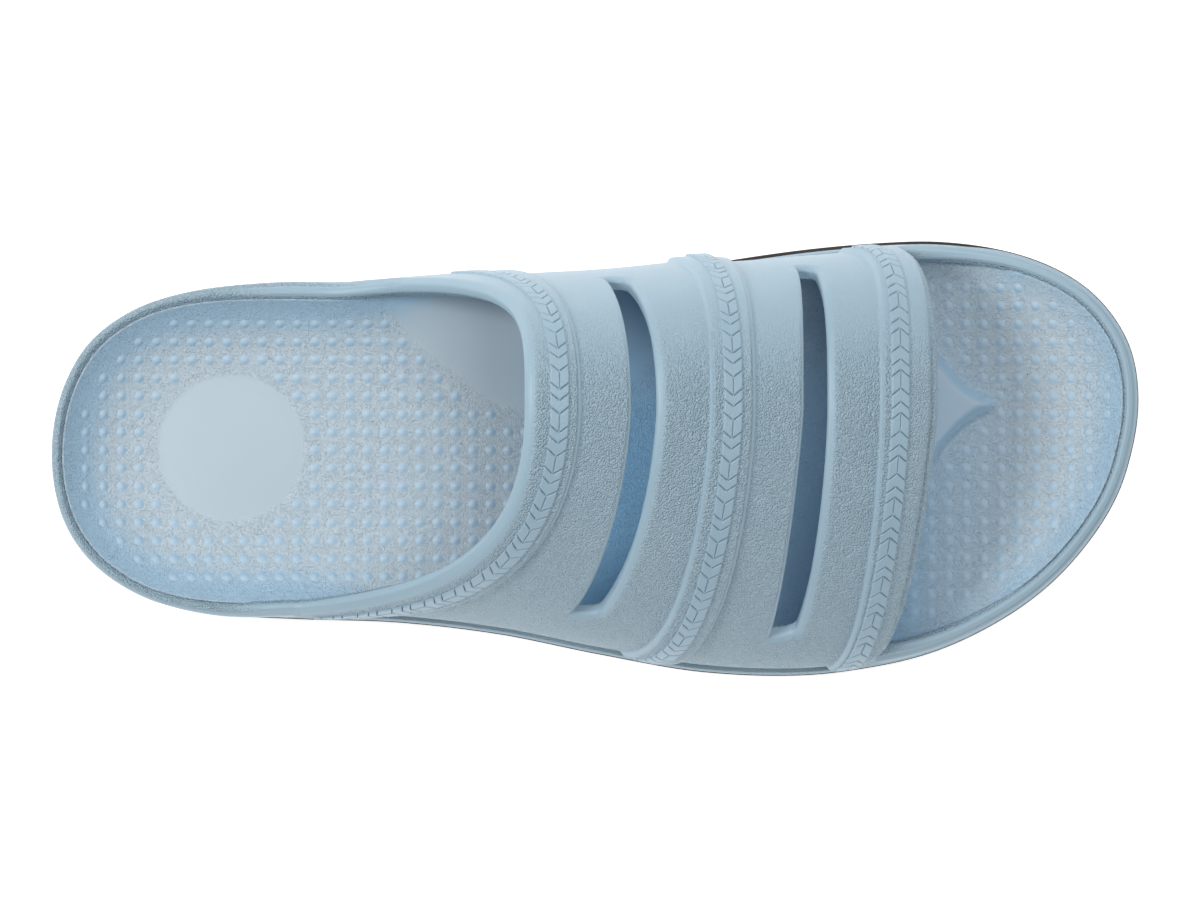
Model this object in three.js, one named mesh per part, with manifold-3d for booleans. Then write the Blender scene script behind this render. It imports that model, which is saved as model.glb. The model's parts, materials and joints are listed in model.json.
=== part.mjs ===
import * as THREE from 'three';
import { mergeVertices } from 'three/addons/utils/BufferGeometryUtils.js';
import Module from 'manifold-3d';

// A sport slide sandal for the right foot, in millimetres, standing on z = 0.
// The toe points along +X and the big-toe side faces +Y.
// The origin is under the middle of the sole. "along" is a share of the length, from the heel.

const wasm = await Module();
wasm.setup();

// Driving sizes
const shoeLength = 275.8;
const ballWidth = 110.5;
const heelStack = 30;
const outsoleThickness = 5;
const treadDepth = 2.2;
const grooveWidth = 3.6;
const toeSpring = 11;
const heelSpring = 4;
const waistLift = 2;
const instepHeight = 93;
const toeEdgeHeight = 60;
const crownOffset = 13;
const strapWall = 3.5;
const bandRelief = 1.2;
const bandStepLength = 0.8;
const lipHeight = 1.1;
const lipLean = 0.5;
const springAboveCrease = 1;
const seatGap = 0.3;
const footbedGap = 0.35;
const heelDiscRadius = 18.5;
const heelDiscRise = 1.3;
const archRise = 3.5;
const toeRidgeRise = 2.6;
const outsoleBevel = 1.6;
const outsoleBulge = 0.3;
const midsoleFootInset = 0.7;
const midsoleWallInset = 0.35;
const midsoleTopInset = 0.8;
const midsoleWallSpan = [0.3, 0.75];
const rimBlendLength = 22;

// Where the ground contact ends and how the sole lifts off the floor
const heelLiftEnd = 0.1;
const toeLiftStart = 0.79;
const waistMiddle = 0.48;
const waistReach = 0.075;

// Fullness of the arch over the foot: 2 is an ellipse, more is squarer
const lateralFullness = 1.85;
const medialFullness = 2.3;

// How the crown falls from the collar to the toe edge: 1 is straight, less drops late
const crownFallPower = 0.85;

// Stops round the arch of the upper, 0 at the spring line and 1 at the crown
const rimStop = 0.1;
const slotLateralStop = 0.3;
const slotMedialStop = 0.26;

// Shares of the wall where the lip of an opening has its points, and how square the lip is
const lipShares = [0.16, 0.42, 0.78];
const lipRoundness = 2.3;

// Forms of the footbed, in shares of the length (along) and of the ball width (across)
const heelDiscPlace = { along: 0.1645, across: 0.025 };
const archPlace = { along: 0.4015, reach: 0.19, across: 0.1, width: 0.24 };
const toeRidgePlace = { back: 0.7008, backLength: 0.06, point: 0.8724, openLength: 0.115, across: 0.125 };
const toeRidgeWidths = { point: 0.012, open: 0.42, flare: 2.1, flank: 0.06, foot: 0.35, tip: 6 };
const cupSharpness = 2.6;
const cupFade = 4;
const spineShare = 0.7;

// Mesh fineness
const solePairs = 46;
const heelColumns = 30;
const toeColumns = 28;
const footbedRings = 11;
const lowSteps = 3;
const archSteps = 9;
const weldDistance = 1e-4;

// Outline of the sole seen from above. Sides are shares of the ball width.
const outlineTable = [
  { along: 0, medial: 0.009, lateral: -0.009 },
  { along: 0.0032, medial: 0.095, lateral: 0.075 },
  { along: 0.0125, medial: 0.174, lateral: 0.15 },
  { along: 0.031, medial: 0.255, lateral: 0.222 },
  { along: 0.0587, medial: 0.317, lateral: 0.282 },
  { along: 0.0956, medial: 0.362, lateral: 0.328 },
  { along: 0.151, medial: 0.393, lateral: 0.359 },
  { along: 0.225, medial: 0.405, lateral: 0.37 },
  { along: 0.317, medial: 0.398, lateral: 0.378 },
  { along: 0.41, medial: 0.393, lateral: 0.405 },
  { along: 0.502, medial: 0.409, lateral: 0.451 },
  { along: 0.594, medial: 0.446, lateral: 0.491 },
  { along: 0.687, medial: 0.480, lateral: 0.5 },
  { along: 0.761, medial: 0.497, lateral: 0.478 },
  { along: 0.816, medial: 0.5, lateral: 0.442 },
  { along: 0.872, medial: 0.482, lateral: 0.375 },
  { along: 0.918, medial: 0.445, lateral: 0.292 },
  { along: 0.955, medial: 0.388, lateral: 0.19 },
  { along: 0.9825, medial: 0.307, lateral: 0.074 },
  { along: 0.9954, medial: 0.232, lateral: -0.034 },
  { along: 1, medial: 0.136, lateral: -0.136 },
];

// Heights above the ground line as shares of the heel stack
const layerTable = [
  { along: 0, parting: 0.53, seat: 0.90, crease: 1.02, rim: 1.25 },
  { along: 0.08, parting: 0.60, seat: 0.95, crease: 1.10, rim: 1.34 },
  { along: 0.2, parting: 0.60, seat: 0.99, crease: 1.10, rim: 1.34 },
  { along: 0.35, parting: 0.58, seat: 1.00, crease: 1.07, rim: 1.36 },
  { along: 0.5, parting: 0.52, seat: 0.91, crease: 0.98, rim: 1.28 },
  { along: 0.65, parting: 0.51, seat: 0.82, crease: 0.90, rim: 1.12 },
  { along: 0.8, parting: 0.50, seat: 0.76, crease: 0.84, rim: 1.00 },
  { along: 0.9, parting: 0.45, seat: 0.70, crease: 0.79, rim: 0.94 },
  { along: 1, parting: 0.37, seat: 0.58, crease: 0.66, rim: 0.80 },
];

// Insets of the upper's wall from the sole outline, as shares of the ball width.
// "panel" is its outer face between the bands, "inner" its inner face, both at the foot,
// and "bulge" is how far the big-toe side swells outwards above the foot.
const wallTable = [
  { along: 0, panel: 0.018, inner: 0.031, bulge: 0 },
  { along: 0.1, panel: 0.018, inner: 0.033, bulge: 0 },
  { along: 0.2, panel: 0.018, inner: 0.042, bulge: 0.002 },
  { along: 0.3, panel: 0.018, inner: 0.049, bulge: 0.024 },
  { along: 0.41, panel: 0.018, inner: 0.050, bulge: 0.047 },
  { along: 0.5, panel: 0.019, inner: 0.051, bulge: 0.045 },
  { along: 0.594, panel: 0.019, inner: 0.051, bulge: 0.029 },
  { along: 0.687, panel: 0.019, inner: 0.051, bulge: 0.006 },
  { along: 0.78, panel: 0.019, inner: 0.050, bulge: 0 },
  { along: 0.9, panel: 0.018, inner: 0.045, bulge: 0 },
  { along: 1, panel: 0.017, inner: 0.042, bulge: 0 },
];

// Edges that cross the upper, heel to toe. Each runs from the little-toe side (lateral)
// over the crown to the big-toe side (medial). "bow" bends it forward towards the crown,
// "hold" keeps its foot upright up to the rim, "back" and "front" say what is raised there.
const edgeTable = [
  { name: 'collar edge', crown: 0.439, lateral: 0.2273, lateralBow: 2.4,
    medial: 0.3193, medialBow: 3.6, hold: 0.1, back: 1, front: 1, between: 3 },
  { name: 'collar band front', crown: 0.4851, lateral: 0.2642, lateralBow: 2.1,
    medial: 0.4114, medialBow: 2.3, hold: 0, back: 1, front: 0, between: 3 },
  { name: 'slot one back', crown: 0.532, lateral: 0.4298, lateralBow: 1.7,
    medial: 0.4897, medialBow: 1.9, hold: 0, back: 0, front: 0, between: 0 },
  { name: 'slot one front', crown: 0.556, lateral: 0.4528, lateralBow: 1.7,
    medial: 0.5016, medialBow: 1.9, hold: 0, back: 0, front: 0, between: 2 },
  { name: 'instep band back', crown: 0.6057, lateral: 0.5238, lateralBow: 1.65,
    medial: 0.5661, medialBow: 2.4, hold: 0, back: 0, front: 1, between: 2 },
  { name: 'instep band front', crown: 0.6444, lateral: 0.5633, lateralBow: 1.75,
    medial: 0.6159, medialBow: 2.3, hold: 0, back: 1, front: 0, between: 2 },
  { name: 'slot two back', crown: 0.6896, lateral: 0.6398, lateralBow: 1.33,
    medial: 0.6693, medialBow: 4, hold: 0, back: 0, front: 0, between: 0 },
  { name: 'slot two front', crown: 0.7126, lateral: 0.6555, lateralBow: 1.7,
    medial: 0.6859, medialBow: 2.4, hold: 0, back: 0, front: 0, between: 2 },
  { name: 'toe band back', crown: 0.7613, lateral: 0.7135, lateralBow: 1.7,
    medial: 0.7245, medialBow: 4, hold: 0, back: 0, front: 1, between: 2 },
  { name: 'toe edge', crown: 0.8084, lateral: 0.7577, lateralBow: 1.4,
    medial: 0.7798, medialBow: 2.5, hold: 0.1, back: 1, front: 1, between: 0 },
];

// How far the grooves of the tread reach to either side, as a share of the ball width
const grooveReach = 0.6;
const grooveSteps = 8;

// Grooves cut across the tread, as places along the sole and how far each bows forward
const grooveTable = [
  { from: 0.075, to: 0.315, count: 5, bow: 0.03 },
  { from: 0.575, to: 0.925, count: 7, bow: 0.035 },
];

// Small maths

function clamp01(value) {
  return Math.min(1, Math.max(0, value));
}

function ease(value) {
  const share = clamp01(value);
  return share * share * (3 - 2 * share);
}

function lerp(a, b, share) {
  return a + (b - a) * share;
}

function hermite(x, x0, x1, y0, y1, slope0, slope1) {
  const span = x1 - x0;
  const s = (x - x0) / span;
  const bend0 = s * s * (2 * s - 3) + 1;
  const bend1 = s * s * (3 - 2 * s);
  const pull0 = s * (s - 1) * (s - 1) * span;
  const pull1 = s * s * (s - 1) * span;
  return y0 * bend0 + y1 * bend1 + slope0 * pull0 + slope1 * pull1;
}

// A smooth curve through knots [x, y], with slopes from each knot's two neighbours
function smoothCurve(knots) {
  const slopes = knots.map((knot, i) => {
    const before = knots[Math.max(0, i - 1)];
    const after = knots[Math.min(knots.length - 1, i + 1)];
    return (after[1] - before[1]) / (after[0] - before[0]);
  });
  return (x) => {
    let i = 0;
    while (i < knots.length - 2 && x > knots[i + 1][0]) {
      i += 1;
    }
    const [x0, y0] = knots[i];
    const [x1, y1] = knots[i + 1];
    const place = Math.min(x1, Math.max(x0, x));
    return hermite(place, x0, x1, y0, y1, slopes[i], slopes[i + 1]);
  };
}

function columnCurve(table, column) {
  return smoothCurve(table.map((row) => [row.along, row[column]]));
}

function alongOf(x) {
  return clamp01(x / shoeLength + 0.5);
}

function xOf(along) {
  return (along - 0.5) * shoeLength;
}

// The outline is walked by a turn: 0 heel tip, little-toe side, PI toe tip, big-toe side, 2 PI heel tip

function turnOf(along) {
  return Math.acos(1 - 2 * along);
}

function outlineKnots() {
  const last = outlineTable.length - 1;
  const knots = outlineTable.map((row) => [turnOf(row.along), -row.lateral]);
  for (let i = last - 1; i >= 0; i -= 1) {
    knots.push([2 * Math.PI - turnOf(outlineTable[i].along), outlineTable[i].medial]);
  }
  const wrap = 2 * Math.PI;
  const beforeHeel = knots[knots.length - 2];
  const afterHeel = knots[1];
  knots.unshift([beforeHeel[0] - wrap, beforeHeel[1]]);
  knots.push([afterHeel[0] + wrap, afterHeel[1]]);
  return knots;
}

const outlineSide = smoothCurve(outlineKnots());

function outlinePoint(turn) {
  const wrap = 2 * Math.PI;
  const inTurn = ((turn % wrap) + wrap) % wrap;
  return new THREE.Vector2(-0.5 * shoeLength * Math.cos(inTurn), outlineSide(inTurn) * ballWidth);
}

// A point moved inwards from the outline, square to it
function insetPoint(turn, inset) {
  const step = 0.01;
  const ahead = outlinePoint(turn + step);
  const behind = outlinePoint(turn - step);
  const inward = new THREE.Vector2(-(ahead.y - behind.y), ahead.x - behind.x).normalize();
  return outlinePoint(turn).addScaledVector(inward, inset);
}

function sideAt(x, medial) {
  const turn = turnOf(alongOf(x));
  return outlinePoint(medial ? 2 * Math.PI - turn : turn).y;
}

function middleAt(x) {
  return (sideAt(x, true) + sideAt(x, false)) / 2;
}

// Heights

const layerCurves = {
  parting: columnCurve(layerTable, 'parting'),
  seat: columnCurve(layerTable, 'seat'),
  crease: columnCurve(layerTable, 'crease'),
  rim: columnCurve(layerTable, 'rim'),
};

function groundHeight(x) {
  const along = alongOf(x);
  const heel = clamp01((heelLiftEnd - along) / heelLiftEnd) ** 2;
  const toe = clamp01((along - toeLiftStart) / (1 - toeLiftStart)) ** 2;
  const waist = ease(1 - Math.abs(along - waistMiddle) / waistReach);
  return heelSpring * heel + toeSpring * toe + waistLift * waist;
}

function layerHeight(layer, x) {
  return groundHeight(x) + heelStack * layerCurves[layer](alongOf(x));
}

// The foot of the upper and of the footbed, on the midsole
function footHeight(x) {
  return layerHeight('parting', x) + seatGap;
}

// The line where the upper's side wall turns into the arch
function springHeight(x) {
  return layerHeight('crease', x) + springAboveCrease;
}

// Wall insets

const wallCurves = {
  panel: columnCurve(wallTable, 'panel'),
  inner: columnCurve(wallTable, 'inner'),
  bulge: columnCurve(wallTable, 'bulge'),
};

// Inset of a wall face; "rise" goes from 0 at the foot to 1 at the spring line
function wallInset(face, x, medial, rise) {
  const along = alongOf(x);
  const bulge = medial ? rise * wallCurves.bulge(along) : 0;
  return (wallCurves[face](along) - bulge) * ballWidth;
}

// Meshes from patches of points

class Skin {
  constructor() {
    this.corners = [];
  }

  triangle(a, b, c) {
    const flat = [a.distanceTo(b), b.distanceTo(c), c.distanceTo(a)].some((side) => side < weldDistance);
    if (!flat) {
      this.corners.push(a, b, c);
    }
  }

  quad(a, b, c, d) {
    if (a.distanceTo(c) <= b.distanceTo(d)) {
      this.triangle(a, b, c);
      this.triangle(a, c, d);
    } else {
      this.triangle(a, b, d);
      this.triangle(b, c, d);
    }
  }

  // Rows of points; faces look along (next row) x (next point in the row)
  patch(rows, keep = () => true) {
    for (let i = 0; i < rows.length - 1; i += 1) {
      for (let j = 0; j < rows[i].length - 1; j += 1) {
        if (keep(i, j)) {
          this.quad(rows[i][j], rows[i + 1][j], rows[i + 1][j + 1], rows[i][j + 1]);
        }
      }
    }
  }

  geometry() {
    const shape = new THREE.BufferGeometry();
    const values = this.corners.flatMap((corner) => [corner.x, corner.y, corner.z]);
    shape.setAttribute('position', new THREE.BufferAttribute(new Float32Array(values), 3));
    return mergeVertices(shape, weldDistance);
  }
}

function reversed(rows) {
  return [...rows].reverse();
}

function closedRing(points) {
  return [...points, points[0]];
}

function solidOf(geometry) {
  const mesh = new wasm.Mesh({
    numProp: 3,
    vertProperties: new Float32Array(geometry.getAttribute('position').array),
    triVerts: new Uint32Array(geometry.index.array),
  });
  return new wasm.Manifold(mesh);
}

function geometryOf(solid) {
  const mesh = solid.getMesh();
  const shape = new THREE.BufferGeometry();
  shape.setAttribute('position', new THREE.BufferAttribute(new Float32Array(mesh.vertProperties), 3));
  shape.setIndex(new THREE.BufferAttribute(new Uint32Array(mesh.triVerts), 1));
  return shape;
}

function part(name, geometry, colour, roughness) {
  geometry.computeVertexNormals();
  const material = new THREE.MeshStandardMaterial({ color: colour, roughness, metalness: 0 });
  const mesh = new THREE.Mesh(geometry, material);
  mesh.name = name;
  return mesh;
}

// Rings of the sole bodies: little-toe side from heel to toe, then big-toe side back,
// so that point i and its partner stand across from each other

function soleTurns() {
  const turns = [];
  for (let i = 0; i < 2 * solePairs; i += 1) {
    turns.push((i * Math.PI) / solePairs);
  }
  return turns;
}

function soleRing(insetOf, heightOf) {
  return soleTurns().map((turn) => {
    const edge = outlinePoint(turn);
    const point = insetPoint(turn, insetOf(edge.x, turn));
    return new THREE.Vector3(point.x, point.y, heightOf(point.x, point.y));
  });
}

// Closes a ring with strips that run across the sole
function capRing(skin, ring, facesUp) {
  const count = ring.length;
  const lateral = [];
  const medial = [];
  for (let i = 0; i <= count / 2; i += 1) {
    lateral.push(ring[i]);
    medial.push(ring[(count - i) % count]);
  }
  skin.patch(facesUp ? [medial, lateral] : [lateral, medial]);
}

// Stacks rings from the bottom up
function stackRings(skin, rings) {
  skin.patch(reversed(rings.map(closedRing)));
}

// Outsole

function grooveCutter(along, bow) {
  const skin = new Skin();
  const sections = [];
  for (let i = 0; i <= grooveSteps; i += 1) {
    const share = (2 * i) / grooveSteps - 1;
    const x = xOf(along + bow * (1 - share * share));
    const y = share * grooveReach * ballWidth;
    const top = groundHeight(x) + treadDepth;
    const bottom = -outsoleThickness;
    const back = x - grooveWidth / 2;
    const front = x + grooveWidth / 2;
    sections.push([
      new THREE.Vector3(back, y, bottom),
      new THREE.Vector3(front, y, bottom),
      new THREE.Vector3(front, y, top),
      new THREE.Vector3(back, y, top),
    ]);
  }
  skin.patch(sections.map(closedRing));
  const start = sections[0];
  skin.quad(start[0], start[1], start[2], start[3]);
  const end = sections[grooveSteps];
  skin.quad(end[3], end[2], end[1], end[0]);
  return solidOf(skin.geometry());
}

function outsoleGeometry() {
  const skin = new Skin();
  const rings = [
    soleRing(() => outsoleBevel, (x) => groundHeight(x)),
    soleRing(() => outsoleBulge, (x) => groundHeight(x) + outsoleBevel),
    soleRing(() => 0, (x) => groundHeight(x) + outsoleThickness),
  ];
  capRing(skin, rings[0], false);
  stackRings(skin, rings);
  capRing(skin, rings[2], true);
  let solid = solidOf(skin.geometry());
  for (const group of grooveTable) {
    for (let i = 0; i < group.count; i += 1) {
      const along = lerp(group.from, group.to, i / (group.count - 1));
      solid = solid.subtract(grooveCutter(along, group.bow));
    }
  }
  return geometryOf(solid);
}

// Midsole

function midsoleGeometry() {
  const skin = new Skin();
  const bottom = (x) => groundHeight(x) + outsoleThickness + seatGap;
  const top = (x) => layerHeight('parting', x);
  const level = (share) => (x) => lerp(bottom(x), top(x), share);
  const rings = [
    soleRing(() => midsoleFootInset, bottom),
    soleRing(() => midsoleWallInset, level(midsoleWallSpan[0])),
    soleRing(() => midsoleWallInset, level(midsoleWallSpan[1])),
    soleRing(() => midsoleTopInset, top),
  ];
  capRing(skin, rings[0], false);
  stackRings(skin, rings);
  capRing(skin, rings[3], true);
  return skin.geometry();
}

// Footbed

// A low dome under the heel
function heelDisc(x, y) {
  const fromX = x - xOf(heelDiscPlace.along);
  const fromY = y - heelDiscPlace.across * ballWidth;
  const away = Math.hypot(fromX, fromY) / heelDiscRadius;
  return heelDiscRise * clamp01(1 - away ** 2);
}

function archSupport(x, y) {
  const lengthwise = ease(1 - Math.abs(alongOf(x) - archPlace.along) / archPlace.reach);
  const across = ease((y / ballWidth - archPlace.across) / archPlace.width);
  return archRise * lengthwise * across;
}

// A cross ridge under the toes whose front runs out to a point between the first two toes
function toeRidge(x, y) {
  const place = toeRidgePlace;
  const widths = toeRidgeWidths;
  const side = Math.abs(y / ballWidth - place.across);
  const open = clamp01((place.point - alongOf(x)) / place.openLength);
  const halfWidth = widths.point + widths.open * open ** widths.flare;
  const back = ease((alongOf(x) - place.back) / place.backLength);
  const flank = ease((halfWidth - side) / widths.flank + widths.foot);
  return toeRidgeRise * back * flank * ease(open * widths.tip);
}

function footbedSurface(x, y, rise) {
  const seat = layerHeight('seat', x);
  const crease = layerHeight('crease', x);
  const cup = seat + (crease - seat) * rise ** cupSharpness;
  const flat = 1 - rise ** cupFade;
  return cup + flat * (heelDisc(x, y) + archSupport(x, y) + toeRidge(x, y));
}

// A ring of the footbed's surface: rise is 1 at the crease under the rim, 0 on the spine
function footbedRing(rise) {
  return soleTurns().map((turn) => {
    const edge = outlinePoint(turn);
    const wallTop = springHeight(edge.x) - footHeight(edge.x);
    const creaseShare = 1 - springAboveCrease / wallTop;
    const rim = insetPoint(turn, wallInset('inner', edge.x, turn > Math.PI, creaseShare) + footbedGap);
    const spineX = rim.x * spineShare;
    const x = lerp(spineX, rim.x, rise);
    const y = lerp(middleAt(spineX), rim.y, rise);
    return new THREE.Vector3(x, y, footbedSurface(x, y, rise));
  });
}

function footbedGeometry() {
  const skin = new Skin();
  const bottom = soleRing(
    (x, turn) => wallInset('inner', x, turn > Math.PI, 0) + footbedGap,
    footHeight,
  );
  const rings = [];
  for (let i = footbedRings; i >= 1; i -= 1) {
    rings.push(footbedRing(Math.sin((i / footbedRings) * Math.PI / 2)));
  }
  capRing(skin, bottom, false);
  stackRings(skin, [bottom, ...rings]);
  capRing(skin, rings[rings.length - 1], true);
  return skin.geometry();
}

// Upper

// Stops between two places, the first left out
function stopsTo(from, to, steps) {
  const stops = [];
  for (let i = 1; i <= steps; i += 1) {
    stops.push(lerp(from, to, i / steps));
  }
  return stops;
}

function archStops(slotStop) {
  return [...stopsTo(rimStop, slotStop, lowSteps), ...stopsTo(slotStop, 1, archSteps)];
}

// Rows run up the little-toe side, over the crown and down the big-toe side.
// "wall" is 0 at the foot and 1 at the spring line, "stop" goes on round the arch.
const lowRows = [
  { wall: 0, stop: 0 },
  { wall: 0.5, stop: 0 },
  { wall: 1, stop: 0 },
  { wall: 1, stop: rimStop },
];

function upperRows() {
  const sideOf = (medial, slotStop) => [
    ...lowRows.map((row) => ({ ...row, medial })),
    ...archStops(slotStop).map((stop) => ({ wall: 1, stop, medial })),
  ];
  const medialSide = sideOf(true, slotMedialStop).slice(0, -1);
  return [...sideOf(false, slotLateralStop), ...medialSide.reverse()];
}

const rows = upperRows();
const rimRow = lowRows.length - 1;
const slotFirstRow = rimRow + lowSteps;
const slotLastRow = rows.length - 1 - rimRow - lowSteps;

const crownBack = edgeTable[0].crown;
const crownFront = edgeTable[edgeTable.length - 1].crown;

function crownHeight(along) {
  const fall = clamp01((crownFront - along) / (crownFront - crownBack));
  return toeEdgeHeight + (instepHeight - toeEdgeHeight) * fall ** crownFallPower;
}

const ribColumns = ['crown', 'lateral', 'lateralBow', 'medial', 'medialBow', 'hold'];

function blendEdges(a, b, share) {
  const rib = {};
  for (const column of ribColumns) {
    rib[column] = lerp(a[column], b[column], share);
  }
  return rib;
}

function shiftEdge(edge, distance) {
  const shift = distance / shoeLength;
  return { ...edge, crown: edge.crown + shift, lateral: edge.lateral + shift, medial: edge.medial + shift };
}

// All ribs of the upper: each edge, twice where a band steps up or down, and ribs between
function upperRibs() {
  const ribs = [];
  edgeTable.forEach((edge, i) => {
    const next = edgeTable[i + 1];
    if (edge.back === edge.front) {
      ribs.push({ ...edge, relief: edge.back });
    } else {
      ribs.push({ ...shiftEdge(edge, -bandStepLength / 2), relief: edge.back });
      ribs.push({ ...shiftEdge(edge, bandStepLength / 2), relief: edge.front, name: '' });
    }
    for (let k = 1; k <= edge.between; k += 1) {
      ribs.push({ ...blendEdges(edge, next, k / (edge.between + 1)), relief: edge.front, name: '' });
    }
  });
  return ribs;
}

const ribs = upperRibs();

// A point of the upper on a rib. The face is 'outer' or 'inner'.
function upperPoint(rib, row, face) {
  const bow = row.medial ? rib.medialBow : rib.lateralBow;
  const foot = row.medial ? rib.medial : rib.lateral;
  const full = row.medial ? medialFullness : lateralFullness;
  const climb = clamp01((row.stop - rib.hold) / (1 - rib.hold));
  const x = xOf(lerp(foot, rib.crown, 1 - (1 - climb) ** bow));
  const angle = (row.stop * Math.PI) / 2;
  const outward = Math.cos(angle) ** (2 / full);
  const upward = Math.sin(angle) ** (2 / full);
  const raised = face === 'outer' ? rib.relief * bandRelief : 0;
  const inset = wallInset(face === 'outer' ? 'panel' : 'inner', x, row.medial, row.wall) - raised;
  const side = row.medial ? sideAt(x, true) - inset : sideAt(x, false) + inset;
  const spring = springHeight(x);
  const foothold = footHeight(x);
  const crown = crownHeight(rib.crown) + raised - (face === 'outer' ? 0 : strapWall);
  const y = lerp(crownOffset, side, outward);
  const z = row.wall < 1 ? lerp(foothold, spring, row.wall) : lerp(spring, crown, upward);
  return new THREE.Vector3(x, y, z);
}

// A column of the rim round the heel or toe, from the foot up to the lip
function rimColumn(turn, face) {
  const edge = outlinePoint(turn);
  const medial = turn < 0 || turn > Math.PI;
  const outer = face === 'outer';
  return lowRows.map((row) => {
    const climb = row.stop / rimStop;
    const inset = wallInset(outer ? 'panel' : 'inner', edge.x, medial, row.wall);
    const place = insetPoint(turn, outer ? inset - bandRelief + lipLean * climb : inset);
    const spring = springHeight(place.x);
    const lip = layerHeight('rim', place.x) - lipHeight;
    const z = row.wall < 1 ? lerp(footHeight(place.x), spring, row.wall) : lerp(spring, lip, climb);
    return new THREE.Vector3(place.x, place.y, z);
  });
}

// The rim runs from one strap column to another and flows into both
function rimColumns(fromTurn, toTurn, count, face, first, last) {
  const columns = [];
  for (let i = 0; i <= count; i += 1) {
    columns.push(rimColumn(lerp(fromTurn, toTurn, i / count), face));
  }
  const stepTo = (columnA, columnB) => columnA[0].distanceTo(columnB[0]);
  const runs = [0];
  for (let i = 1; i <= count; i += 1) {
    runs.push(runs[i - 1] + stepTo(columns[i - 1], columns[i]));
  }
  const firstShift = first.map((point, k) => point.clone().sub(columns[0][k]));
  const lastShift = last.map((point, k) => point.clone().sub(columns[count][k]));
  return columns.map((column, i) => column.map((point, k) => {
    const nearFirst = 1 - ease(runs[i] / rimBlendLength);
    const nearLast = 1 - ease((runs[count] - runs[i]) / rimBlendLength);
    return point.addScaledVector(firstShift[k], nearFirst).addScaledVector(lastShift[k], nearLast);
  }));
}

// Rounds the rim of an opening: a strip from the outer to the inner edge over a raised lip
function lipStrip(skin, outer, inner) {
  const count = outer.length;
  const strips = outer.map((point, i) => {
    const before = outer[(i + count - 1) % count];
    const after = outer[(i + 1) % count];
    const run = after.clone().sub(before).normalize();
    const across = inner[i].clone().sub(point);
    const out = run.clone().cross(across).normalize().multiplyScalar(lipHeight);
    const over = lipShares.map((share) => {
      const swell = Math.sqrt(1 - Math.abs(2 * share - 1) ** lipRoundness);
      return point.clone().addScaledVector(across, share).addScaledVector(out, swell);
    });
    return [point, ...over, inner[i]];
  });
  skin.patch(closedRing(strips));
}

function upperGeometry() {
  const skin = new Skin();
  const outer = ribs.map((rib) => rows.map((row) => upperPoint(rib, row, 'outer')));
  const inner = ribs.map((rib) => rows.map((row) => upperPoint(rib, row, 'inner')));
  const lastRib = ribs.length - 1;
  const lastRow = rows.length - 1;
  const slotRibs = ribs.map((rib, i) => (/^slot .* back$/.test(rib.name) ? i : -1)).filter((i) => i >= 0);
  const inSlot = (i, j) => slotRibs.includes(i) && j >= slotFirstRow && j < slotLastRow;
  const whole = (i, j) => !inSlot(i, j);
  skin.patch(outer, whole);
  skin.patch(reversed(inner), (i, j) => !inSlot(lastRib - 1 - i, j));

  for (const rib of slotRibs) {
    const loop = [];
    for (let j = slotFirstRow; j <= slotLastRow; j += 1) {
      loop.push([rib, j]);
    }
    for (let j = slotLastRow; j >= slotFirstRow; j -= 1) {
      loop.push([rib + 1, j]);
    }
    const edge = loop.map(([i, j]) => [outer[i][j], inner[i][j]]);
    skin.patch(reversed(closedRing(edge)));
  }

  const feet = (faces, rib, medial) => {
    const points = [];
    for (let k = 0; k <= rimRow; k += 1) {
      points.push(faces[rib][medial ? lastRow - k : k]);
    }
    return points;
  };
  const heelFrom = turnOf(ribs[0].lateral);
  const heelTo = -turnOf(ribs[0].medial);
  const toeFrom = 2 * Math.PI - turnOf(ribs[lastRib].medial);
  const toeTo = turnOf(ribs[lastRib].lateral);
  const heelOf = (face, faces) => rimColumns(
    heelFrom, heelTo, heelColumns, face, feet(faces, 0, false), feet(faces, 0, true),
  );
  const toeOf = (face, faces) => rimColumns(
    toeFrom, toeTo, toeColumns, face, feet(faces, lastRib, true), feet(faces, lastRib, false),
  );
  const heelOuter = heelOf('outer', outer);
  const heelInner = heelOf('inner', inner);
  const toeOuter = toeOf('outer', outer);
  const toeInner = toeOf('inner', inner);
  skin.patch(reversed(heelOuter));
  skin.patch(heelInner);
  skin.patch(reversed(toeOuter));
  skin.patch(toeInner);

  const over = (faces, rib) => faces[rib].slice(rimRow, lastRow - rimRow + 1);
  const tops = (columns) => columns.slice(1, -1).map((column) => column[rimRow]);
  const collar = (faces, columns) => [...over(faces, 0), ...reversed(tops(columns))];
  const toeMouth = (faces, columns) => [...reversed(over(faces, lastRib)), ...reversed(tops(columns))];
  lipStrip(skin, collar(outer, heelOuter), collar(inner, heelInner));
  lipStrip(skin, toeMouth(outer, toeOuter), toeMouth(inner, toeInner));

  const footOf = (faces, heel, toe) => [
    ...reversed(heel).slice(0, -1).map((column) => column[0]),
    ...faces.slice(0, -1).map((rib) => rib[0]),
    ...reversed(toe).slice(0, -1).map((column) => column[0]),
    ...reversed(faces).slice(0, -1).map((rib) => rib[lastRow]),
  ];
  const outerFoot = closedRing(footOf(outer, heelOuter, toeOuter));
  const innerFoot = closedRing(footOf(inner, heelInner, toeInner));
  skin.patch([outerFoot, innerFoot]);
  return skin.geometry();
}

const sandal = new THREE.Group();
sandal.add(part('outsole', outsoleGeometry(), 0x4a4440, 0.8));
sandal.add(part('midsole', midsoleGeometry(), 0xa9c4d8, 0.62));
sandal.add(part('footbed', footbedGeometry(), 0x9fbfd6, 0.66));
sandal.add(part('upper', upperGeometry(), 0xa4c1d4, 0.6));

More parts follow.
